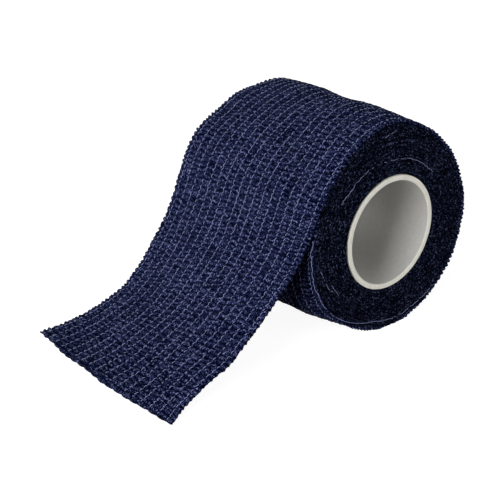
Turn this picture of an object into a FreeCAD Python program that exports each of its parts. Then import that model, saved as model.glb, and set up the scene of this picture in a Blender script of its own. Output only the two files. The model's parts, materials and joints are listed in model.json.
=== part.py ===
import FreeCAD, Part
import os
from math import ceil, cos, pi, radians, sin

# A roll of crepe hand-wrap tape on a paperboard core, lying on its side, with its free
# end peeled off and laid on the floor.
# Frame: origin at the centre of the core's bore, +Y along the bore, +Z up. The near end
# face of the roll is at -Y and the free end of the tape leads off towards -X.

# Driving dimensions, in millimetres and degrees

# Roll and core. Tape and core are slit to one width together.
roll_width = 50.0
bore_diameter = 25.4
inner_ply_thickness = 0.4
middle_ply_thickness = 0.5
outer_ply_thickness = 0.4
ply_seam_gap = 0.25
ply_seam_advance = 51.0         # length of core in one turn of a ply's butt seam
seam_turn = 0.0                 # where the seam starts at the near end, from +X

# Tape: two crepe webs with stretched elastic threads laid flat between them
web_thickness = 0.25
thread_thickness = 0.1
thread_width = 0.3
thread_pitch = 2.78
thread_margin = 1.37            # edge of the tape to the middle of the first thread

# Winding
wound_turns = 12
winding_looseness = 0.38        # air between turns, as a share of the tape's thickness
core_seat_gap = 0.05
peel_angle = 159.0              # where the free end leaves the roll, from +X over the top

# Uneven build-up of a soft roll: share of the wound thickness, and where it is highest
oval_once = 0.0618
oval_once_at = 9.9
oval_twice = 0.0641
oval_twice_at = -42.2
oval_three = 0.0260
oval_three_at = 50.6
oval_four = 0.0297
oval_four_at = -6.6

# The outer turn has sprung off the roll in a slack fold that runs askew over the top,
# and it sags below the place where the free end leaves
slack_half_width = 45.0
near_slack_height = 2.0
near_slack_at = 105.0
far_slack_height = 3.0
far_slack_at = 56.0
sag_half_width = 46.0
near_sag_height = 1.5
near_sag_at = -146.0
far_sag_height = 2.8
far_sag_at = -133.0
rest_flat_depth = 0.45          # how far the floor presses into the soft outer turn

# Free end. It leaves the roll straight on and sweeps out to the floor.
near_reach = 63.6               # from the bore's axis to the cut end, which is not quite square
far_reach = 67.3
peel_hold = 20.2                # how far the tape keeps the direction it peels in
landing_hold = 19.6             # and the direction in which it comes down
landing_slope = 0.0
fold_share = 0.70               # place of the second crease along the free end
crease_gap = 0.3                # between the tape's stiff lengths, at each crease
trim_length = 1.0               # tape cut away past the far corner

# Worked out from these
bore_radius = bore_diameter / 2
core_radius = bore_radius + inner_ply_thickness + middle_ply_thickness + outer_ply_thickness
tape_thickness = 2 * web_thickness + thread_thickness
turn_pitch = tape_thickness * (1 + winding_looseness)
total_turns = wound_turns + 1
near_y = -roll_width / 2
far_y = roll_width / 2
thread_count = int((roll_width - 2 * thread_margin) / thread_pitch + 1e-6) + 1
flats_per_turn = 45             # the tape bends in short flats, round the roll
free_end_flats = 20             # and down its free end
probe = 0.001                   # small step along the free end, to read its direction


def place(across, along_y, up):
    return FreeCAD.Vector(across, along_y, up)


def save(shape, node):
    shape.exportStep("parts/" + node + ".step")


def closed_outline(upper, lower):
    # Two matching rows of points, joined at their ends into one closed wire
    return Part.makePolygon(upper + lower[::-1] + upper[:1])


# Core: paperboard plies, wound at an angle and glued on each other

def seam_cutter(inner, outer, turn):
    # Helical slot through a ply that stands along +Z, run out past both of its ends
    overrun = 2 * ply_seam_gap
    length = roll_width + 2 * overrun
    helix = Part.makeHelix(ply_seam_advance, length, (inner + outer) / 2)
    low = -ply_seam_gap / 2
    high = ply_seam_gap / 2
    corners = [place(inner, low, 0), place(outer, low, 0)]
    corners += [place(outer, high, 0), place(inner, high, 0)]
    section = Part.makePolygon(corners + corners[:1])
    slot = Part.Wire(helix.Edges).makePipeShell([section], True, True)
    slot.translate(place(0, 0, -length / 2))
    slot.rotate(place(0, 0, 0), place(0, 0, 1), turn)
    return slot


def ply(inner, thickness, seam_turn=None):
    # A tube along the bore, open along its helical butt seam where one is asked for
    outer = inner + thickness
    base = place(0, 0, -roll_width / 2)
    wall = Part.makeCylinder(outer, roll_width, base)
    wall = wall.cut(Part.makeCylinder(inner, roll_width, base))
    if seam_turn is not None:
        wall = wall.cut(seam_cutter(inner - ply_seam_gap, outer + ply_seam_gap, seam_turn))
    wall.rotate(place(0, 0, 0), place(1, 0, 0), -90)
    return wall


# Wound tape

def build_up_factor(angle):
    once = oval_once * cos(radians(angle - oval_once_at))
    twice = oval_twice * cos(2 * radians(angle - oval_twice_at))
    three = oval_three * cos(3 * radians(angle - oval_three_at))
    four = oval_four * cos(4 * radians(angle - oval_four_at))
    return 1 + once + twice + three + four


def slack(angle, height, middle, half_width):
    # Smooth hump that the outer turn makes over the roll beneath it
    share = (angle - middle) / half_width
    if abs(share) > 1:
        return 0.0
    return height * cos(share * pi / 2) ** 2


def wound_point(turn, depth, along_y, extra=0.0):
    # The tape's inner face after so many turns, and the same place deeper in the tape
    angle = peel_angle + 360 * (turn - total_turns)
    radius = core_radius + core_seat_gap + turn_pitch * turn * build_up_factor(angle)
    radius += depth + extra
    return place(radius * cos(radians(angle)), along_y, radius * sin(radians(angle)))


def wound_strip():
    steps = wound_turns * flats_per_turn
    turns = [i / flats_per_turn for i in range(steps + 1)]
    upper = [wound_point(turn, tape_thickness, near_y) for turn in turns]
    lower = [wound_point(turn, 0, near_y) for turn in turns]
    return Part.Face(closed_outline(upper, lower)).extrude(place(0, roll_width, 0))


def outer_turn_edge(along_y, fold_height, fold_at, sag_height, sag_at):
    # Last turn along one edge of the tape, from the end of the wound strip to the peel
    points = [[], []]
    for i in range(flats_per_turn + 1):
        turn = wound_turns + i / flats_per_turn
        angle = peel_angle + 360 * (turn - total_turns)
        extra = slack(angle, fold_height, fold_at, slack_half_width)
        extra += slack(angle, sag_height, sag_at, sag_half_width)
        points[0].append(wound_point(turn, tape_thickness, along_y, extra))
        points[1].append(wound_point(turn, 0, along_y, extra))
    return closed_outline(points[0], points[1])


def outer_turn():
    near = outer_turn_edge(near_y, near_slack_height, near_slack_at,
                           near_sag_height, near_sag_at)
    far = outer_turn_edge(far_y, far_slack_height, far_slack_at,
                          far_sag_height, far_sag_at)
    shape = Part.makeLoft([near, far], True, True)
    below = Part.makeBox(4 * core_radius, roll_width, 4 * core_radius)
    below.translate(place(-2 * core_radius, near_y, floor_height - 4 * core_radius))
    return shape.cut(below)


def lowest_wound_height():
    turns = [total_turns - 1 + i / 720 for i in range(721)]
    return min(wound_point(turn, tape_thickness, 0).z for turn in turns)


floor_height = lowest_wound_height() + rest_flat_depth


# Free end

leaving = radians(peel_angle + 90)
landing = radians(landing_slope)
free_start = wound_point(total_turns, 0, near_y)
free_end = place(-far_reach - trim_length, near_y, floor_height)
free_handles = [
    free_start,
    free_start + place(cos(leaving), 0, sin(leaving)) * peel_hold,
    free_end + place(cos(landing), 0, sin(landing)) * landing_hold,
    free_end,
]


def free_centre(share):
    # Cubic curve that the tape's inner face follows from the roll to the floor
    rest = 1 - share
    weights = [rest ** 3, 3 * rest ** 2 * share, 3 * rest * share ** 2, share ** 3]
    total = place(0, 0, 0)
    for weight, handle in zip(weights, free_handles):
        total = total + handle * weight
    return total


def free_point(share, depth, along_y):
    # A place along the free end, the given depth out from its inner face
    ahead = free_centre(share + probe) - free_centre(share - probe)
    outward = place(ahead.z, 0, -ahead.x).normalize()
    point = free_centre(share) + outward * depth
    return place(point.x, along_y, point.z)


def share_of_length(length, share):
    # A short length along the tape, near a place on it, as a share of the free end
    ahead = free_centre(share + probe) - free_centre(share)
    return length / ahead.Length * probe


def offcut():
    # What the scissors take off, past a line from the near corner to the far corner
    past = trim_length + roll_width
    corners = [
        place(-near_reach, near_y, 0),
        place(-far_reach, far_y, 0),
        place(-far_reach - past, far_y, 0),
        place(-far_reach - past, near_y, 0),
    ]
    blank = Part.Face(Part.makePolygon(corners + corners[:1]))
    blank.translate(place(0, 0, floor_height - roll_width))
    return blank.extrude(place(0, 0, 2 * roll_width))


def layer(start, end, low, high, from_y, to_y):
    # One layer of the free end between two places along it and two lines across it
    steps = ceil((end - start) * free_end_flats)
    shares = [start + (end - start) * i / steps for i in range(steps + 1)]
    upper = [free_point(share, high, from_y) for share in shares]
    lower = [free_point(share, low, from_y) for share in shares]
    band = Part.Face(closed_outline(upper, lower)).extrude(place(0, to_y - from_y, 0))
    return band.cut(offcut())


def free_length(name, start, end):
    inner_top = web_thickness
    thread_top = web_thickness + thread_thickness
    save(layer(start, end, 0, inner_top, near_y, far_y), name + "_inner_web")
    save(layer(start, end, thread_top, tape_thickness, near_y, far_y), name + "_outer_web")
    for i in range(thread_count):
        middle = (i - (thread_count - 1) / 2) * thread_pitch
        thread = layer(start, end, inner_top, thread_top,
                       middle - thread_width / 2, middle + thread_width / 2)
        save(thread, name + "_thread_%02d" % (i + 1))


os.makedirs("parts", exist_ok=True)
middle_ply_radius = bore_radius + inner_ply_thickness
outer_ply_radius = middle_ply_radius + middle_ply_thickness
save(ply(bore_radius, inner_ply_thickness, seam_turn), "core_inner_ply")
save(ply(middle_ply_radius, middle_ply_thickness), "core_middle_ply")
save(ply(outer_ply_radius, outer_ply_thickness), "core_outer_ply")
save(wound_strip(), "wound_strip")
save(outer_turn(), "outer_turn")
peel_gap = share_of_length(crease_gap, 0)
fold_gap = share_of_length(crease_gap, fold_share)
free_length("tail", peel_gap, fold_share - fold_gap / 2)
free_length("tail_end", fold_share + fold_gap / 2, 1.0)

# Places that joints and mounts are given at
print("floor height", floor_height)
print("peel crease", free_point(peel_gap / 2, tape_thickness, 0))
print("fold crease", free_point(fold_share, tape_thickness, 0))
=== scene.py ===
import bmesh
import bpy
import json
import math
from bisect import bisect_left
from mathutils import Matrix, Vector, noise


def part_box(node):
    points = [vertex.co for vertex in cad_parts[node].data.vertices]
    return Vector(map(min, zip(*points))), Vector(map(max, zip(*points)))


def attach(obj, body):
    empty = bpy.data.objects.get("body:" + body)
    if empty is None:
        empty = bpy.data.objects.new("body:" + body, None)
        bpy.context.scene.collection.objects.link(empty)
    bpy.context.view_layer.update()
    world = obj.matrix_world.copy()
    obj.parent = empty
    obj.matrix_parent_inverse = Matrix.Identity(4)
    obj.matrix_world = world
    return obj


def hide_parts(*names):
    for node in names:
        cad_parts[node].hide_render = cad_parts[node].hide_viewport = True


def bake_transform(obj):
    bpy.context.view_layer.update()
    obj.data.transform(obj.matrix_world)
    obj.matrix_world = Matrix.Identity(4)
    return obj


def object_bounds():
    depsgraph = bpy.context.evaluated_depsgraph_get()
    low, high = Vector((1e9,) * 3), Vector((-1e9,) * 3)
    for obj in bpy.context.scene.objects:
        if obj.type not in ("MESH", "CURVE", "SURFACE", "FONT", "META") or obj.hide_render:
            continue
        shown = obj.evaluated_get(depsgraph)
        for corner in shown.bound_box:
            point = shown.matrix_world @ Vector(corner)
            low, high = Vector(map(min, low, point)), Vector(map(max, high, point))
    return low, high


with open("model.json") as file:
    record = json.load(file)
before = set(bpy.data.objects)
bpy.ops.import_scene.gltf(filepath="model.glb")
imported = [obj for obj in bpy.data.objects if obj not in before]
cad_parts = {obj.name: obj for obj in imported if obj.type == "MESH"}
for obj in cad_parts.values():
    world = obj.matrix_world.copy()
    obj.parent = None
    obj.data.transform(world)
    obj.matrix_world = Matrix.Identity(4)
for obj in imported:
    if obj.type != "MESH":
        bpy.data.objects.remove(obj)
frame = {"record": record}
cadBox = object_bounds()
scene = bpy.context.scene
mm = 0.001
print("frame loaded")


# Shape of the roll and its free end, in millimetres and degrees. What the frame already
# holds is read from it, and the rest repeats the source.

mounts = {mount["name"]: mount for mount in frame["record"]["mounts"]}
rollWidth = mounts["core_bore"]["dims"]["length_mm"]
halfWidth = rollWidth / 2
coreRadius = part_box("core_outer_ply")[1].x / mm
floorHeight = cadBox[0].z / mm

# Winding of a soft roll. Each oval is how often round the roll it is built up, by what share
# of its thickness, and where most.

winding = {
    "turns": 13, "tapeThickness": 0.6, "turnPitch": 0.828, "seatGap": 0.05,
    "peelAngle": 159,                                          # where the free end leaves
    "ovals": [(1, 0.0618, 9.9), (2, 0.0641, -42.2), (3, 0.0260, 50.6), (4, 0.0297, -6.6)],
}


def clamp(value):
    return min(max(value, 0), 1)


def smooth(value):
    value = clamp(value)
    return value * value * (3 - 2 * value)


def mix(first, second, share):
    return first + (second - first) * share


def readOff(points, at):
    # Value between given points, eased from each to the next
    for (start, low), (end, high) in zip(points, points[1:]):
        if at <= end:
            break
    return mix(low, high, smooth((at - start) / (end - start)))


def waver(place, lumps, apart=0):
    # Soft unevenness from -1 to 1. Lumps are its seed, and then how long a lump is each way.
    # A length far below 1 gives each numbered lane, thread or edge an unevenness of its own.
    seed, *lengths = lumps
    scaled = [part / length for part, length in zip(place, lengths)]
    return noise.noise(Vector((*scaled, seed + apart)))


def polar(angle, radius=1.0):
    return Vector((math.cos(math.radians(angle)), 0, math.sin(math.radians(angle)))) * radius


def woundRadius(turn):
    # Outer face of the smooth tape after so many turns on the core
    angle = winding["peelAngle"] + 360 * (turn - winding["turns"])
    oval = 1 + sum(size * math.cos(times * math.radians(angle - at))
                   for times, size, at in winding["ovals"])
    wound = winding["turnPitch"] * turn * oval + winding["tapeThickness"]
    return coreRadius + winding["seatGap"] + wound


meanRadius = woundRadius(winding["turns"] - 0.5)
turnLength = 2 * math.pi * meanRadius

# The outer turn stands off the roll in a slack fold that runs askew over its top, with a
# shoulder and a flat behind it at the far edge, and it sags under the free end. Heights are
# given at these shares of the width from the near edge.

slack = {
    "fold": {"angles": (105, 56), "halfSpread": 45,
             "heights": [(0, 2.0), (0.3, 2.3), (0.5, 1.6), (0.75, 2.5), (1, 2.6)]},
    "shoulder": {"angles": (140, 140), "halfSpread": 24,
                 "heights": [(0, 0.0), (0.6, 0.0), (1, 0.5)]},
    "flat": {"angles": (112, 116), "halfSpread": 18,
             "heights": [(0, 0.0), (0.6, 0.0), (1, -0.5)]},
    "sag": {"angles": (-146, -133), "halfSpread": 46,
            "heights": [(0, 1.2), (0.1, 2.5), (0.2, 3.2), (0.4, 3.6), (1, 3.2)]},
}


def slackHeight(angle, across):
    share = across / rollWidth + 0.5
    total = 0
    for hump in slack.values():
        away = (angle - mix(*hump["angles"], share)) / hump["halfSpread"]
        if abs(away) < 1:
            total += readOff(hump["heights"], share) * math.cos(away * math.pi / 2) ** 2
    return total


# Each edge of the free end leaves the roll straight on and sweeps out to the floor. A bulge is
# where along it an edge swings out, which edge, how far, and over what length.

freeEnd = {
    "near": {"reach": 64.1, "leaveHold": 16.8, "landHold": 12.8, "landSlope": 21},
    "far": {"reach": 67.3, "leaveHold": 32.0, "landHold": 18.0, "landSlope": 0},
    "steps": 240,
    "bulges": [(38.5, -1, 1.2, 4.0), (56, -1, 1.4, 3.0), (18, 1, 0.7, 4.0)],
}


def edgeHandles(edge):
    start = polar(winding["peelAngle"], woundRadius(winding["turns"]))
    end = Vector((-edge["reach"], 0, floorHeight + winding["tapeThickness"]))
    leaving = polar(winding["peelAngle"] + 90, edge["leaveHold"])
    return start, start + leaving, end + polar(edge["landSlope"], edge["landHold"]), end


handles = {side: edgeHandles(freeEnd[side]) for side in ("near", "far")}


def sweep(share, side):
    # Place on one edge's curve, and the way that it heads there
    a, b, c, d = handles[side]
    rest = 1 - share
    place = a * rest ** 3 + b * 3 * rest ** 2 * share + c * 3 * rest * share ** 2 + d * share ** 3
    heading = (b - a) * rest ** 2 + (c - b) * 2 * rest * share + (d - c) * share ** 2
    return place, heading


def measureFreeEnd():
    lengths = [0.0]
    last = sweep(0, "near")[0]
    for step in range(1, freeEnd["steps"] + 1):
        share = step / freeEnd["steps"]
        place = mix(sweep(share, "near")[0], sweep(share, "far")[0], 0.5)
        lengths.append(lengths[-1] + (place - last).length)
        last = place
    return lengths


freeLengths = measureFreeEnd()
freeLength = freeLengths[-1]


def tapeSurface(along, across):
    # Outer face of the smooth tape, and the way that it faces. Along is 0 where the free
    # end leaves the roll, negative round the roll, and positive down the free end.
    if along < 0:
        angle = winding["peelAngle"] + 360 * along / turnLength
        radius = woundRadius(winding["turns"] + along / turnLength)
        place = polar(angle, radius + slackHeight(angle, across))
        place.y = across
        return place, polar(angle)
    upTo = min(max(bisect_left(freeLengths, along), 1), freeEnd["steps"])
    before, after = freeLengths[upTo - 1:upTo + 1]
    share = (upTo - 1 + (along - before) / (after - before)) / freeEnd["steps"]
    (near, nearHeading), (far, farHeading) = sweep(share, "near"), sweep(share, "far")
    part = across / rollWidth + 0.5
    place = mix(near, far, part)
    place.y = across
    heading = mix(nearHeading, farHeading, part)
    return place, Vector((heading.z, 0, -heading.x)).normalized()


# Crinkle of the tape. The elastic threads draw it up, so that between each two threads it
# stands in short cross folds, one small pillow after another.

crinkle = {
    "threads": 18, "threadPitch": 2.78,
    "foldPitch": 1.26, "foldHeight": 0.50, "foldRoundness": 0.65, "foldMiddle": 0.6,
    "foldDrift": 0.45, "driftLumps": (1.7, 3.1, 0.137),        # how folds stray along a lane
    "fineDrift": 0.6, "fineDriftLumps": (8.2, 1.1, 1.2),       # and within a pillow
    "foldBow": 0.30, "bowLumps": (5.9, 6, 0.21),               # how they bow across it
    "laneShift": 0.377,                                        # and step from lane to lane
    "strength": 0.9, "strengthChange": 0.7, "strengthLumps": (4.4, 1.9, 1.7),
    "heldAtThread": 0.35, "heldAtEdge": 1.3,                   # shares of the height left there
    "crownPower": 2.6, "edgeReach": 1.5,
    "threadDip": 0.10, "threadDipWidth": 0.35,
    "grain": 0.15, "grainLumps": (2.2, 0.5, 0.5),
    "cockle": 0.35, "cockleLumps": (6.1, 9, 13),               # waves of the whole tape
    "sideWander": 0.4, "wanderLumps": (3.3, 11, 14),
    "innerFace": 0.7, "pressed": 0.5,                          # shares of the crinkle there
    "leastThickness": 0.05,
}

slitEdge = {
    "band": 1.2, "buckle": 0.18,
    "drift": 0.6, "driftLumps": (0.4, 3, 0.2), "change": 0.8, "changeLumps": (5.0, 1.7, 0.11),
}

# How open each place is to the light, which the tape's colour follows as painted shade: darker in
# the pits and thread grooves, lighter on the crests

openness = {
    "crest": 0.95, "pitAtThread": 0.8, "pitInWeakFold": 0.7, "pitInStrongFold": 1.2,
    "threadGroove": 0.12, "grain": 0.35, "pressed": 0.75,
}


def laneOf(across):
    # Which lane between threads, and the place in it from -1 to 1
    place = across / crinkle["threadPitch"] + crinkle["threads"] / 2 - 0.5
    lane = math.floor(place)
    return lane, (place - lane) * 2 - 1


def foldAt(along, across):
    # Height of the crinkle, and how open it is to the light for the painted shade: 0 in a pit, 1
    # on a crest
    lane, side = laneOf(across)
    place = (along, across)
    inLane = (along, lane)
    drift = waver(inLane, crinkle["driftLumps"])
    drift += crinkle["fineDrift"] * waver(place, crinkle["fineDriftLumps"])
    bow = math.copysign(crinkle["foldBow"], waver(inLane, crinkle["bowLumps"]))
    phase = along / crinkle["foldPitch"] + crinkle["foldDrift"] * drift
    phase += bow * (1 - side * side)
    phase += lane * crinkle["laneShift"]
    crest = abs(math.sin(math.pi * phase)) ** crinkle["foldRoundness"]
    strength = crinkle["strength"]
    strength += crinkle["strengthChange"] * waver(place, crinkle["strengthLumps"])
    crown = max(1 - abs(side) ** crinkle["crownPower"], 0)
    fromEdge = smooth((halfWidth - abs(across)) / crinkle["edgeReach"])
    held = mix(crinkle["heldAtThread"], 1, crown) * mix(crinkle["heldAtEdge"], 1, fromEdge)
    height = crinkle["foldHeight"] * strength * (crest - crinkle["foldMiddle"]) * held
    toThread = (1 - abs(side)) * crinkle["threadPitch"] / 2 / crinkle["threadDipWidth"]
    height -= crinkle["threadDip"] * math.exp(-toThread ** 2)
    grain = waver(place, crinkle["grainLumps"])
    height += crinkle["grain"] * grain
    pit = (1 - crest) * mix(openness["pitAtThread"], 1, crown)
    pit *= mix(openness["pitInWeakFold"], openness["pitInStrongFold"], strength)
    pit += openness["threadGroove"] * (1 - crown)
    return height, clamp(openness["crest"] - pit + openness["grain"] * grain)


def cockleAt(along, across):
    return crinkle["cockle"] * waver((along, across), crinkle["cockleLumps"])


def wanderAt(along, across):
    # Sideways drift of the whole tape, and the places where an edge swings out
    total = crinkle["sideWander"] * waver((along, across), crinkle["wanderLumps"])
    for place, edge, size, spread in freeEnd["bulges"]:
        towards = max(across * edge / halfWidth, 0) ** 3
        total += edge * size * towards * math.exp(-((along - place) / spread) ** 2)
    return total


def buckleAt(along, across):
    # The slit edges buckle in and out with the folds
    edge = math.copysign(1, across)
    near = max(abs(across) - halfWidth + slitEdge["band"], 0) / slitEdge["band"]
    phase = along / crinkle["foldPitch"]
    phase += slitEdge["drift"] * waver((along, edge), slitEdge["driftLumps"])
    bump = abs(math.sin(math.pi * phase)) - crinkle["foldMiddle"]
    bump += slitEdge["change"] * waver((along, edge), slitEdge["changeLumps"])
    return edge * near * slitEdge["buckle"] * bump


def crepePoint(along, across, outer, pressed):
    # Pressed is 1 at the cut end, where the scissors left the webs flat on each other
    place, outward = tapeSurface(along, across)
    height, light = foldAt(along, across)
    flattened = mix(1, crinkle["pressed"], pressed)
    height *= flattened
    if not outer:
        height = height * crinkle["innerFace"] - winding["tapeThickness"] * flattened
    place = place + outward * (height + cockleAt(along, across))
    place.y += wanderAt(along, across) + buckleAt(along, across)
    place.z = max(place.z, floorHeight + (crinkle["leastThickness"] if outer else 0))
    # Where pressed, the painted shade of the pits gives way to one even level
    return place, mix(light, openness["pressed"], pressed)


def newPiece(name, bm, materials, nodes=(), slot=None):
    mesh = bpy.data.meshes.new(name)
    bm.to_mesh(mesh)
    bm.free()
    piece = bpy.data.objects.new(name, mesh)
    scene.collection.objects.link(piece)
    for material in materials:
        mesh.materials.append(material)
    mesh.polygons.foreach_set("use_smooth", [True] * len(mesh.polygons))
    if nodes:
        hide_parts(*nodes)
    return piece


# Materials

def toLinear(hexColour):
    channels = [int(hexColour[i:i + 2], 16) / 255 for i in (1, 3, 5)]
    linear = [c / 12.92 if c <= 0.04045 else ((c + 0.055) / 1.055) ** 2.4 for c in channels]
    return (*linear, 1)


def addNode(tree, kind, links=(), values=(), stops=(), **settings):
    # Links are (node, its output, input here), values (input here, value), and stops are
    # a ramp's (place, colour)
    node = tree.nodes.new(kind)
    for name, value in settings.items():
        setattr(node, name, value)
    for name, value in values:
        node.inputs[name].default_value = value
    for source, output, name in links:
        tree.links.new(source.outputs[output], node.inputs[name])
    if stops:
        elements = node.color_ramp.elements
        elements.remove(elements[1])
        elements[0].position = stops[0][0]
        elements[0].color = toLinear(stops[0][1])
        for place, colour in stops[1:]:
            elements.new(place).color = toLinear(colour)
    return node


def newMaterial(name, **sockets):
    material = bpy.data.materials.new(name)
    material.use_nodes = True
    tree = material.node_tree
    shader = tree.nodes["Principled BSDF"]
    for socket, value in sockets.items():
        shader.inputs[socket.replace("_", " ")].default_value = value
    return material, tree, shader


# Spunbond nonwoven dipped in latex: matt navy, with painted shade darker down in the pits, and
# fibres that catch the light. A single fibre is too fine to show, so they are drawn in bunches, as
# speckles of painted glint and shade.

crepe = {
    "fibreScale": 2900.0, "dyeScale": 250.0,           # a bunch in 0.35 mm and a dye cloud in 4 mm
    "paintedShadeShare": 0.38, "dyeShare": 0.20, "fibreBump": 0.6, "fibreHeight": 0.12,
}


def crepeMaterial(name, speckle, sheen, stops):
    # Speckle is how far the painted glint and shade of single bunches of fibres stray from the
    # colour of the fold, which carries the painted shade of the pits
    material, tree, shader = newMaterial(
        name, Roughness=0.95, Specular_IOR_Level=0.0, Sheen_Weight=sheen,
        Sheen_Roughness=0.4, Sheen_Tint=toLinear("#8f98c8"))
    # The crest attribute is painted shade, which the ramp turns into darker navy in the pits and
    # lighter navy on the crests
    crest = addNode(tree, "ShaderNodeAttribute", attribute_name="crest")
    place = addNode(tree, "ShaderNodeTexCoord")
    fibres = addNode(tree, "ShaderNodeTexNoise", [(place, "Object", "Vector")],
                     [("Scale", crepe["fibreScale"]), ("Detail", 1.5), ("Roughness", 0.7)])
    dye = addNode(tree, "ShaderNodeTexNoise", [(place, "Object", "Vector")],
                  [("Scale", crepe["dyeScale"]), ("Detail", 2.0)])
    fibreLight = addNode(tree, "ShaderNodeMath", [(fibres, "Fac", 0)],
                         [(1, speckle), (2, -speckle / 2)], operation="MULTIPLY_ADD")
    dyeLight = addNode(tree, "ShaderNodeMath", [(dye, "Fac", 0), (fibreLight, 0, 2)],
                       [(1, crepe["dyeShare"])], operation="MULTIPLY_ADD")
    level = addNode(tree, "ShaderNodeMath", [(crest, "Fac", 0), (dyeLight, 0, 2)],
                    [(1, crepe["paintedShadeShare"])], operation="MULTIPLY_ADD")
    ramp = addNode(tree, "ShaderNodeValToRGB", [(level, 0, "Fac")], stops=stops)
    bump = addNode(tree, "ShaderNodeBump", [(fibres, "Fac", "Height")],
                   [("Strength", crepe["fibreBump"]), ("Distance", crepe["fibreHeight"] * mm)])
    tree.links.new(ramp.outputs["Color"], shader.inputs["Base Color"])
    tree.links.new(bump.outputs["Normal"], shader.inputs["Normal"])
    return material


# Ramp stops run from the painted shade of the deepest pits to the lit crests and fibre glints
crepeNavy = crepeMaterial(
    "Crepe nonwoven, navy", speckle=2.2, sheen=0.01,
    stops=[(0.21, "#010312"), (0.42, "#171d3d"), (0.60, "#2e3559"), (0.93, "#8a92bc")])
# The slit edge is the navy crepe made much darker, as painted shade for the self-shadowing among
# the cut fibres of the end faces
crepeEdgeShaded = crepeMaterial(
    "Crepe nonwoven, slit edge, painted shade", speckle=2.1, sheen=0.0,
    stops=[(0.07, "#010105"), (0.33, "#080b15"), (0.52, "#191e34"), (0.70, "#484f6c")])


# Paper of the core: matt off-white or pale grey, softly clouded by its pulp. The liner's grey is
# partly its own and partly painted shade for the inside of the bore.

paper = {"pulpScale": 900.0, "pulpBump": 0.3, "pulpHeight": 0.05}     # a pulp cloud in 1.1 mm


def paperMaterial(name, colour, mottle, roughness):
    material, tree, shader = newMaterial(name, Roughness=roughness)
    place = addNode(tree, "ShaderNodeTexCoord")
    pulp = addNode(tree, "ShaderNodeTexNoise", [(place, "Object", "Vector")],
                   [("Scale", paper["pulpScale"]), ("Detail", 4.0), ("Roughness", 0.6)])
    ramp = addNode(tree, "ShaderNodeValToRGB", [(pulp, "Fac", "Fac")],
                   stops=[(0.3, mottle), (0.7, colour)])
    bump = addNode(tree, "ShaderNodeBump", [(pulp, "Fac", "Height")],
                   [("Strength", paper["pulpBump"]), ("Distance", paper["pulpHeight"] * mm)])
    tree.links.new(ramp.outputs["Color"], shader.inputs["Base Color"])
    tree.links.new(bump.outputs["Normal"], shader.inputs["Normal"])
    return material


paperWrap = paperMaterial("Core wrap, bleached kraft", "#e6e4da", "#d8d5ca", roughness=0.75)
# Grey liner paper, darkened further as painted shade for the inside of the bore
paperLinerShaded = paperMaterial("Core liner, calendered grey paper, painted shade", "#c1c0bd", "#b8b7b3",
                           roughness=0.6)
coreBoard = paperMaterial("Core board, white-lined chip", "#e4e1d6", "#cfccc0", roughness=0.85)

# Covered elastic: pale blue-grey yarn, almost matt
threadYarn = newMaterial(
    "Elastic thread, pale blue-grey", Base_Color=toLinear("#969ec8"), Roughness=0.7,
    Specular_IOR_Level=0.1)[0]
print("materials made")


# Tape in four lengths, laid end to end, whose last edge is cut with scissors

tapeParts = {
    "step": 0.22, "acrossStep": 0.40,
    "underEnd": -78, "overEnd": -6.0, "upperEnd": 31.0,
    "cutBow": 1.3, "cutNotch": 0.3, "cutWave": 0.35, "cutLumps": (9.4, 7, 1),
    "cutOver": 4.0, "cutPress": 0.9,
}


def crepeSheet(name, start, end, **replacing):
    # A flat grid and a second face under it, laid round the roll and crinkled. The grid is 1
    # by 1, and its second face is marked by a height of -1 until it is laid.
    bm = bmesh.new()
    bmesh.ops.create_grid(bm, size=0.5, x_segments=round((end - start) / tapeParts["step"]),
                          y_segments=round(rollWidth / tapeParts["acrossStep"]))
    inner = bmesh.ops.extrude_face_region(bm, geom=bm.faces[:], use_keep_orig=True)
    for item in inner["geom"]:
        if isinstance(item, bmesh.types.BMVert):
            item.co.z = -1
    rim = [edge for edge in bm.edges if abs(edge.verts[0].co.x) == abs(edge.verts[1].co.x) == 0.5]
    for edge in rim:
        edge.smooth = False
    # The crest layer carries the painted shade of the pits to the material
    crest = bm.verts.layers.float.new("crest")
    for vert in bm.verts:
        along = mix(start, end, vert.co.x + 0.5)
        across = vert.co.y * rollWidth
        cut = smooth(1 - (freeLength - along) / tapeParts["cutOver"])
        pressed = smooth(1 - (freeLength - along) / tapeParts["cutPress"])
        bow = tapeParts["cutBow"] * (1 - (across / halfWidth) ** 2)
        bow -= tapeParts["cutNotch"] * laneOf(across)[1] ** 2
        along += cut * (bow + tapeParts["cutWave"] * waver((across, 0), tapeParts["cutLumps"]))
        vert.co, vert[crest] = crepePoint(along, across, vert.co.z == 0, pressed)
    bmesh.ops.scale(bm, verts=bm.verts, vec=(mm, mm, mm))
    bmesh.ops.recalc_face_normals(bm, faces=bm.faces[:])
    return newPiece(name, bm, [crepeNavy], **replacing)


outerUnder = crepeSheet("outerTurnUnder", -turnLength, tapeParts["underEnd"],
                        nodes=["outer_turn"], slot="crepe_tape")
outerOver = crepeSheet("outerTurnOver", tapeParts["underEnd"], tapeParts["overEnd"],
                       nodes=["outer_turn"], slot="crepe_tape")
upperTail = crepeSheet("freeEndUpper", tapeParts["overEnd"], tapeParts["upperEnd"],
                       nodes=["tail_inner_web", "tail_outer_web"], slot="crepe_web")
lowerTail = crepeSheet("freeEndLower", tapeParts["upperEnd"], freeLength,
                       nodes=["tail_end_inner_web", "tail_end_outer_web"], slot="crepe_web")
print("tape laid")


# Elastic threads, one between each two lanes, that dip in and out of the web at each fold

elastic = {
    "radius": 0.056, "step": 0.21, "shortOfCut": 0.3,
    "sink": -0.045, "sinkChange": 0.10, "sinkLumps": (7.7, 0.8, 0.31), "innerSink": -0.77,
    "bead": 0.13, "beadDrift": 4, "beadLumps": (1.5, 5, 0.31), "jog": 0.075,
}


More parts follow.
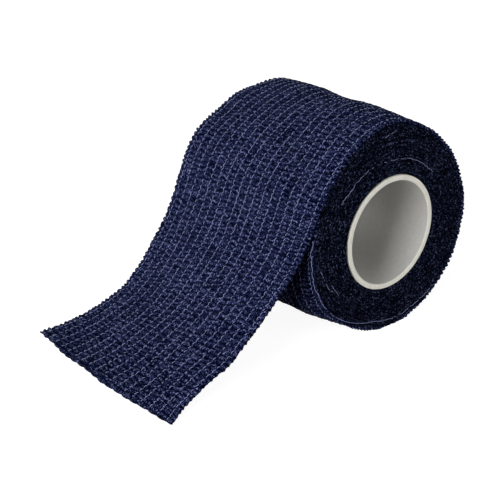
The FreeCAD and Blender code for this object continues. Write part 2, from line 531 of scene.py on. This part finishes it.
def threadCurve(name, paths, radius):
    data = bpy.data.curves.new(name, "CURVE")
    data.dimensions = "3D"
    data.bevel_depth = radius * mm
    data.bevel_resolution = 1
    data.use_fill_caps = True
    for path in paths:
        spline = data.splines.new("POLY")
        spline.points.add(len(path) - 1)
        for point, place in zip(spline.points, path):
            point.co = (*(place * mm), 1)
    curve = bpy.data.objects.new(name, data)
    mesh = bpy.data.meshes.new_from_object(curve)
    bpy.data.objects.remove(curve)
    bm = bmesh.new()
    bm.from_mesh(mesh)
    bpy.data.meshes.remove(mesh)
    bmesh.ops.recalc_face_normals(bm, faces=bm.faces[:])
    return bm


def threadPath(number, start, end, outer):
    across = (number - (crinkle["threads"] - 1) / 2) * crinkle["threadPitch"]
    steps = round((end - start) / elastic["step"])
    path = []
    for step in range(steps + 1):
        along = mix(start, end, step / steps)
        place, outward = tapeSurface(along, across)
        beads = 2 * math.pi * along / crinkle["foldPitch"]
        beads += elastic["beadDrift"] * waver((along, number), elastic["beadLumps"])
        sink = elastic["sink"] + elastic["bead"] * math.cos(beads)
        sink += elastic["sinkChange"] * waver((along, number), elastic["sinkLumps"])
        if not outer:
            sink = elastic["innerSink"] - sink
        place = place + outward * (sink + cockleAt(along, across))
        place.y += wanderAt(along, across) + elastic["jog"] * math.sin(beads)
        place.z = max(place.z, floorHeight + elastic["radius"])
        path.append(place)
    return path


def threads(name, start, end, faces, nodes=()):
    # They show on the outer face of the tape, and on the inner face where that is seen
    paths = [threadPath(number, start, end, face == "outer")
             for face in faces for number in range(crinkle["threads"])]
    bm = threadCurve(name, paths, elastic["radius"])
    return newPiece(name, bm, [threadYarn], nodes, "elastic_thread")


threadNames = [f"{number:02d}" for number in range(1, crinkle["threads"] + 1)]
turnThreads = threads("threadsOuterTurn", -turnLength, tapeParts["overEnd"], ["outer"])
upperThreads = threads("threadsFreeEndUpper", tapeParts["overEnd"], tapeParts["upperEnd"],
                       ["outer", "inner"], ["tail_thread_" + number for number in threadNames])
lowerThreads = threads("threadsFreeEndLower", tapeParts["upperEnd"],
                       freeLength - elastic["shortOfCut"], ["outer", "inner"],
                       ["tail_end_thread_" + number for number in threadNames])
print("threads drawn")


# The wound tape under the outer turn, whose slit edges make the felted end faces, coloured with
# the darker crepe of painted shade

woundTape = {
    "turns": winding["turns"] - 1, "step": 0.30, "airGap": 0.04,
    "startGap": 0.1, "startRise": 0.004,               # turns in which it climbs its own start
    "followed": 0.85, "tightTurns": 8, "looseTurns": 5,
    "fray": 0.45, "frayLumps": (4.8, 0.6, 0.6), "swell": 0.5, "swellLumps": (9.1, 4.0, 4.0),
    "radialFray": 0.16, "radialLumps": (1.1, 0.7, 0.7),
    "roundedEdge": 0.15, "coreDip": 0.25, "coreDipWidth": 1.3,
    # painted shade of the end faces: an even level, lighter on frayed fibres, darker towards the
    # rounded edges between turns
    "openness": 0.64, "paintedLightByFray": 0.6, "paintedShadeByEdge": 0.25,
    "profile": [(-0.5, 1), (-0.5, 0.5), (-0.5, 0), (-0.5, -0.5), (-0.5, -1), (-0.44, -1),
                (0.44, -1), (0.5, -1), (0.5, -0.5), (0.5, 0), (0.5, 0.5), (0.5, 1), (0.44, 1),
                (-0.44, 1)],                           # shares of width, and of half thickness
}


def woundStations():
    # Turns at which the tape is set out, evenly along its length
    stations = []
    turn = 0.0
    while turn < woundTape["turns"]:
        stations.append(turn)
        turn += woundTape["step"] / (2 * math.pi * woundRadius(turn))
    return stations + [woundTape["turns"]]


def woundPoint(turn, width, height):
    # Each turn fills the room up to the next, and hugs the core to begin with. The last few
    # have followed the outer turn part of the way where it stands off.
    angle = winding["peelAngle"] + 360 * (turn - winding["turns"])
    seat = coreRadius + winding["seatGap"]
    inner = woundRadius(turn) - winding["tapeThickness"]
    outer = woundRadius(turn + 1) - winding["tapeThickness"] - woundTape["airGap"]
    if turn < 1:
        climbed = smooth(1 - (1 - turn) / woundTape["startRise"])
        inner = mix(seat + woundTape["startGap"], inner, climbed)
    angleInTurn = winding["peelAngle"] - 360 * ((winding["turns"] - turn) % 1)
    followed = woundTape["followed"] * slackHeight(angleInTurn, width * rollWidth)
    inner += followed * smooth((turn - woundTape["tightTurns"]) / woundTape["looseTurns"])
    outer += followed * smooth((turn + 1 - woundTape["tightTurns"]) / woundTape["looseTurns"])
    radius = mix(inner, outer, height / 2 + 0.5)
    place = polar(angle, radius)
    place.y = width * rollWidth
    # Painted shade on the end faces: lighter where fibres fray out, darker in the grooves between
    # turns
    light = woundTape["openness"]
    if abs(width) == 0.5:
        edge = math.copysign(1, width)
        spot = (place.x, place.z)
        atCore = smooth(1 - (radius - seat) / woundTape["coreDipWidth"])
        fray = waver(spot, woundTape["frayLumps"], edge)
        swell = waver(spot, woundTape["swellLumps"], edge)
        felted = (1 - atCore) * (woundTape["fray"] * fray + woundTape["swell"] * swell)
        felted -= woundTape["roundedEdge"] * height ** 2 + woundTape["coreDip"] * atCore
        place.y += edge * felted
        shift = woundTape["radialFray"] * waver(spot, woundTape["radialLumps"], edge)
        place += polar(angle, max(shift, seat - radius))
        light += woundTape["paintedLightByFray"] * fray - woundTape["paintedShadeByEdge"] * height ** 2
    return place, clamp(light)


def windTape():
    stations = woundStations()
    profile = woundTape["profile"]
    bm = bmesh.new()
    bmesh.ops.create_grid(bm, size=0.5, x_segments=len(stations) - 1, y_segments=len(profile))
    # The crest layer carries the painted shade of the end faces to the material
    crest = bm.verts.layers.float.new("crest")
    for vert in bm.verts:
        turn = stations[round((vert.co.x + 0.5) * (len(stations) - 1))]
        width, height = profile[round((vert.co.y + 0.5) * len(profile)) % len(profile)]
        vert.co, vert[crest] = woundPoint(turn, width, height)
    bmesh.ops.remove_doubles(bm, verts=bm.verts, dist=0.0001)
    bmesh.ops.holes_fill(bm, edges=[edge for edge in bm.edges if edge.is_boundary])
    bmesh.ops.scale(bm, verts=bm.verts, vec=(mm, mm, mm))
    bmesh.ops.recalc_face_normals(bm, faces=bm.faces[:])
    return newPiece("woundTape", bm, [crepeEdgeShaded], ["wound_strip"], "crepe_tape")


wound = windTape()
print("tape wound")


# Threads that have worked loose at the slit edges and lie on the end faces. Each is a list
# of (angle, radius), and rises from the felt and sinks back as it goes. The far end face has
# the same ones, turned on so that they lie elsewhere.

looseThreads = {
    "radius": 0.038, "step": 0.3, "standOff": 0.08,
    "rise": 0.5, "riseLumps": (7.2, 1.1, 0.3), "kink": 0.15, "kinkLumps": (3.6, 0.8, 0.3),
    "farTurn": 143, "farTurnEach": 40, "farNumber": 20,
    "arcs": [
        [(146, 20.3), (136, 19.6), (116, 19.4), (92, 18.0), (77, 17.9), (60, 17.6), (43, 17.6)],
        [(169, 25.4), (193, 25.0), (210, 24.3), (229, 23.3), (256, 22.1), (284, 23.5),
         (302, 24.1), (312, 24.7)],
        [(-172, 22.6), (-164, 21.8), (-158, 21.5), (-152, 20.5)],
        [(-160, 20.6), (-152, 19.9), (-146, 19.8)],
        [(100, 24.2), (96, 24.6), (90, 24.9)],
    ],
}


def loosePath(arc, number, edge):
    path = []
    for (start, low), (end, high) in zip(arc, arc[1:]):
        steps = max(round(math.radians(abs(end - start)) * low / looseThreads["step"]), 1)
        for step in range(steps):
            share = step / steps
            angle = mix(start, end, share)
            radius = mix(low, high, share)
            spot = (math.radians(angle) * radius, number)
            radius += looseThreads["kink"] * waver(spot, looseThreads["kinkLumps"])
            place = polar(angle, radius)
            rise = looseThreads["rise"] * waver(spot, looseThreads["riseLumps"])
            place.y = edge * (halfWidth + looseThreads["standOff"] + rise)
            path.append(place)
    return path


def drawLooseThreads():
    paths = []
    for number, arc in enumerate(looseThreads["arcs"]):
        paths.append(loosePath(arc, number, -1))
        turnOn = looseThreads["farTurn"] + looseThreads["farTurnEach"] * number
        turned = [(angle + turnOn, radius) for angle, radius in arc]
        paths.append(loosePath(turned, number + looseThreads["farNumber"], 1))
    bm = threadCurve("threadsLoose", paths, looseThreads["radius"])
    return newPiece("threadsLoose", bm, [threadYarn], slot="elastic_thread")


loose = drawLooseThreads()
print("loose threads laid")


# Core of three paper plies, wound as one tube and sawn to length

core = {
    "steps": 144, "sawn": 0.05, "sawnLumps": (0, 2.5, 2.5), "endApart": 3,
    "whiteRim": 0.3,                         # the sawn ends show the paper's bare white
    "plies": [
        ("coreLiner", "core_inner_ply", paperLinerShaded, "core_paper", (0.22, 0.03)),
        ("coreBoard", "core_middle_ply", coreBoard, "core_board", (0.03, 0.03)),
        ("coreWrap", "core_outer_ply", paperWrap, "core_board", (0.03, 0.22)),
    ],                                       # last, rounding of the ends inside and outside
}


def spinPly(name, node, material, slot, rounding):
    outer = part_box(node)[1].x / mm
    inner = mounts["core_bore"]["dims"]["r_mm"]
    for other in core["plies"]:
        if other[0] == name:
            break
        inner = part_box(other[1])[1].x / mm
    bm = bmesh.new()
    corners = [bm.verts.new((radius, y, 0)) for radius, y in (
        (inner, -halfWidth), (outer, -halfWidth), (outer, halfWidth), (inner, halfWidth))]
    bm.faces.new(corners)
    for side, size in zip((inner, outer), rounding):
        turned = [vert for vert in bm.verts if abs(vert.co.x - side) < 1e-6]
        bmesh.ops.bevel(bm, geom=turned, affect="VERTICES", offset=size, segments=4,
                        profile=0.5, material=-1)
    bmesh.ops.delete(bm, geom=bm.faces[:], context="FACES_ONLY")
    bmesh.ops.spin(bm, geom=bm.verts[:] + bm.edges[:], axis=(0, 1, 0), cent=(0, 0, 0),
                   angle=2 * math.pi, steps=core["steps"], use_merge=True)
    bmesh.ops.remove_doubles(bm, verts=bm.verts, dist=1e-5)
    for vert in bm.verts:
        end = math.copysign(core["endApart"], vert.co.y)
        vert.co.y += core["sawn"] * waver((vert.co.x, vert.co.z), core["sawnLumps"], end)
    bmesh.ops.scale(bm, verts=bm.verts, vec=(mm, mm, mm))
    bmesh.ops.recalc_face_normals(bm, faces=bm.faces[:])
    piece = newPiece(name, bm, [material, paperWrap], [node], slot)
    for face in piece.data.polygons:
        if abs(face.center.y) > (halfWidth - core["whiteRim"]) * mm:
            face.material_index = 1
    return piece


plies = [spinPly(*ply) for ply in core["plies"]]
print("core made")


# Camera at the three-quarter view from the front left, in millimetres and degrees

view = {
    "azimuth": -38.5, "elevation": 24.24, "tilt": -0.378, "lens": 64.85, "sensor": 36,
    "distance": 227.36, "aside": -17.32, "above": -11.84, "clipStart": 10,
}


def placeCamera():
    turn, lift = math.radians(view["azimuth"]), math.radians(view["elevation"])
    back = Vector((math.sin(turn) * math.cos(lift), -math.cos(turn) * math.cos(lift),
                   math.sin(lift)))
    right = Vector((math.cos(turn), math.sin(turn), 0))
    tilt = Matrix.Rotation(math.radians(view["tilt"]), 3, back)
    right, up = tilt @ right, tilt @ back.cross(right)
    data = bpy.data.cameras.new("camera")
    data.lens = view["lens"]
    data.sensor_width = view["sensor"]
    data.clip_start = view["clipStart"] * mm
    camera = bpy.data.objects.new("camera", data)
    scene.collection.objects.link(camera)
    spot = (back * view["distance"] + right * view["aside"] + up * view["above"]) * mm
    facing = Matrix((right, up, back)).transposed().to_4x4()
    camera.matrix_world = Matrix.Translation(spot) @ facing
    scene.camera = camera


placeCamera()
print("camera placed")


# White sweep and soft studio light, in metres and watts

studio = {
    "floorHalf": 3, "floorGlow": 0.91, "surroundLight": 0.125,
    "floorGap": 0.02,                                          # millimetres under the roll
    "lamps": {
        "key": {"place": (-0.46, -0.09, 0.17), "size": 0.30, "power": 2.5},
        "fill": {"place": (0.16, -0.64, 0.12), "size": 0.40, "power": 2.2},
        "back": {"place": (-0.33, 0.55, 0.10), "size": 0.30, "power": 1.6},
    },
}


def backdropSeen(tree):
    # 1 where the camera looks at the backdrop, straight, in a gloss or through something clear
    path = addNode(tree, "ShaderNodeLightPath")
    indirect = addNode(tree, "ShaderNodeMath", [(path, "Is Glossy Ray", 0),
                                                (path, "Is Transmission Ray", 1)],
                       operation="MAXIMUM")
    return addNode(tree, "ShaderNodeMath", [(path, "Is Camera Ray", 0), (indirect, 0, 1)],
                   operation="MAXIMUM")


def makeFloor():
    bm = bmesh.new()
    bmesh.ops.create_grid(bm, x_segments=2, y_segments=2, size=studio["floorHalf"])
    bmesh.ops.translate(bm, verts=bm.verts, vec=(0, 0, (floorHeight - studio["floorGap"]) * mm))
    material, tree, shader = newMaterial(
        "Paper sweep, white", Base_Color=toLinear("#a8a8a8"), Roughness=0.9,
        Specular_IOR_Level=0.1, Emission_Color=toLinear("#ffffff"))
    glow = addNode(tree, "ShaderNodeMath", [(backdropSeen(tree), 0, 0)],
                   [(1, studio["floorGlow"])], operation="MULTIPLY")
    tree.links.new(glow.outputs[0], shader.inputs["Emission Strength"])
    newPiece("floor", bm, [material])


def lightStudio():
    world = bpy.data.worlds.new("studio")
    scene.world = world
    world.use_nodes = True
    tree = world.node_tree
    surround = tree.nodes["Background"]
    surround.inputs["Color"].default_value = (1, 1, 1, 1)
    level = addNode(tree, "ShaderNodeMath", [(backdropSeen(tree), 0, 0)],
                    [(1, studio["surroundLight"])], operation="MAXIMUM")
    tree.links.new(level.outputs[0], surround.inputs["Strength"])
    for name, given in studio["lamps"].items():
        data = bpy.data.lights.new(name, "AREA")
        data.size = given["size"]
        data.energy = given["power"]
        lamp = bpy.data.objects.new(name, data)
        scene.collection.objects.link(lamp)
        lamp.location = given["place"]
        lamp.rotation_euler = Vector(given["place"]).to_track_quat("Z", "Y").to_euler()


makeFloor()
lightStudio()
scene.view_settings.view_transform = "Standard"
print("stage lit")


# What moves with what.

for piece in (outerUnder, outerOver, turnThreads, wound, loose, *plies):
    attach(piece, "roll")
for piece in (upperTail, upperThreads):
    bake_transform(piece)
for piece in (lowerTail, lowerThreads):
    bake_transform(piece)
